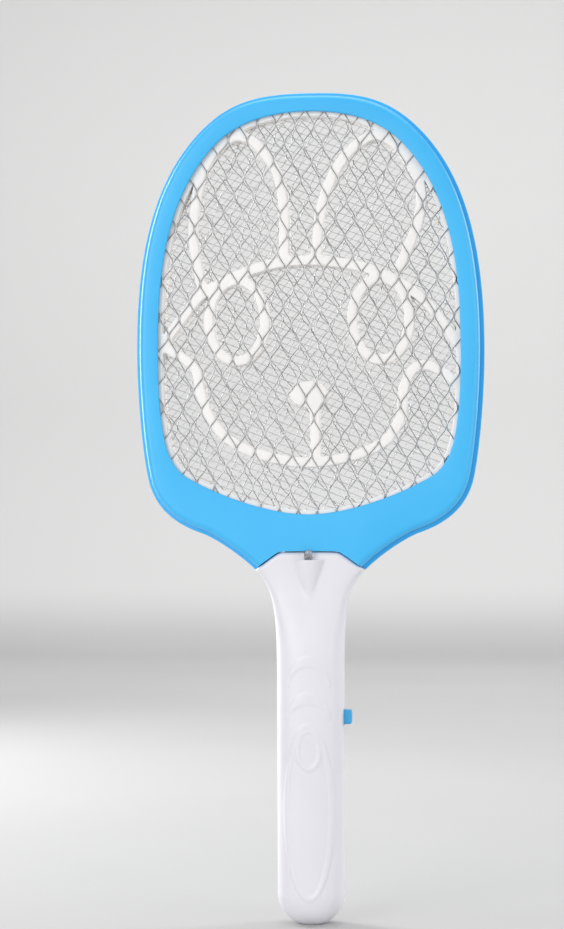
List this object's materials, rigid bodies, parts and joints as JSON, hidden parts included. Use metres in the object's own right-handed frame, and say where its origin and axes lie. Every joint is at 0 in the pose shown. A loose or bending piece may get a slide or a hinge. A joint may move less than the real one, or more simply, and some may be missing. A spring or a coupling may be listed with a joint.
{
  "type": "electric fly swatter",
  "caption": "Hand-held electric fly swatter: rounded head with layered wire grids held by ribbed spacers, neck lamp, oval grip with a side push button and a rear battery cover.",
  "frame": {"origin": "middle of the flat end of the butt, on the object's bottom plane", "axes": "+Z along the handle towards the head, +X to the right seen from the front (the button's side), -Y out of the front face"},
  "size_m": [0.2106, 0.034, 0.5],
  "materials": {
    "blue_plastic": "moulded, satin gloss",
    "white_plastic": "moulded, satin gloss",
    "spacer_plastic": "moulded, semi-matt",
    "grid_steel": "bright expanded sheet",
    "screw_steel": "zinc plated",
    "cell_case": "plain wrapped case",
    "contact_metal": "nickel plated spring steel",
    "board_laminate": "paper laminate",
    "transformer_tape": "taped winding on a ferrite core",
    "film_coating": "dipped",
    "ceramic_coating": "dipped",
    "black_plastic": "moulded",
    "resistor_body": "lacquered",
    "lamp_lens": "clear epoxy",
    "red_insulation": "extruded",
    "black_insulation": "extruded"
  },
  "bodies": {
    "swatter": {"front_frame": "blue_plastic", "rear_frame": "blue_plastic", "front_grid": "grid_steel", "middle_grid": "grid_steel", "rear_grid": "grid_steel", "front_spacer": "spacer_plastic", "rear_spacer": "spacer_plastic", "frame_screw_1": "screw_steel", "frame_screw_2": "screw_steel", "frame_screw_3": "screw_steel", "frame_screw_4": "screw_steel", "frame_screw_5": "screw_steel", "frame_screw_6": "screw_steel", "neck_screw_1": "screw_steel", "neck_screw_2": "screw_steel", "handle_front": "white_plastic", "handle_rear": "white_plastic", "handle_screw_1": "screw_steel", "handle_screw_2": "screw_steel", "handle_screw_3": "screw_steel", "handle_screw_4": "screw_steel", "battery_1": "cell_case", "battery_2": "cell_case", "battery_tab": "contact_metal", "battery_spring": "contact_metal", "battery_bridge": "contact_metal", "battery_lead_positive": "red_insulation", "battery_lead_negative": "black_insulation", "circuit_board": "board_laminate", "board_screw_1": "screw_steel", "board_screw_2": "screw_steel", "transformer": "transformer_tape", "storage_capacitor": "film_coating", "multiplier_capacitor_1": "ceramic_coating", "multiplier_capacitor_2": "ceramic_coating", "multiplier_capacitor_3": "ceramic_coating", "multiplier_diode_1": "black_plastic", "multiplier_diode_2": "black_plastic", "multiplier_diode_3": "black_plastic", "resistor_1": "resistor_body", "resistor_2": "resistor_body", "transistor": "black_plastic", "push_switch": "black_plastic", "indicator_lamp": "lamp_lens", "lamp_lead_1": "red_insulation", "lamp_lead_2": "black_insulation", "front_grid_lead": "black_insulation", "rear_grid_lead": "black_insulation", "middle_grid_lead": "red_insulation"},
    "button": {"push_button": "blue_plastic", "switch_plunger": "white_plastic"},
    "cover": {"battery_cover": "white_plastic"}
  },
  "joints": [
    {"name": "button_press", "type": "slide", "parent": "swatter", "child": "button", "axis": [-1, 0, 0], "range_m": [0, 0.002], "stiffness_N_per_m": 1000, "springref_m": -0.0005},
    {"name": "cover_slide", "type": "slide", "parent": "swatter", "child": "cover", "axis": [0, 0, -1], "range_m": [0, 0.055]}
  ]
}
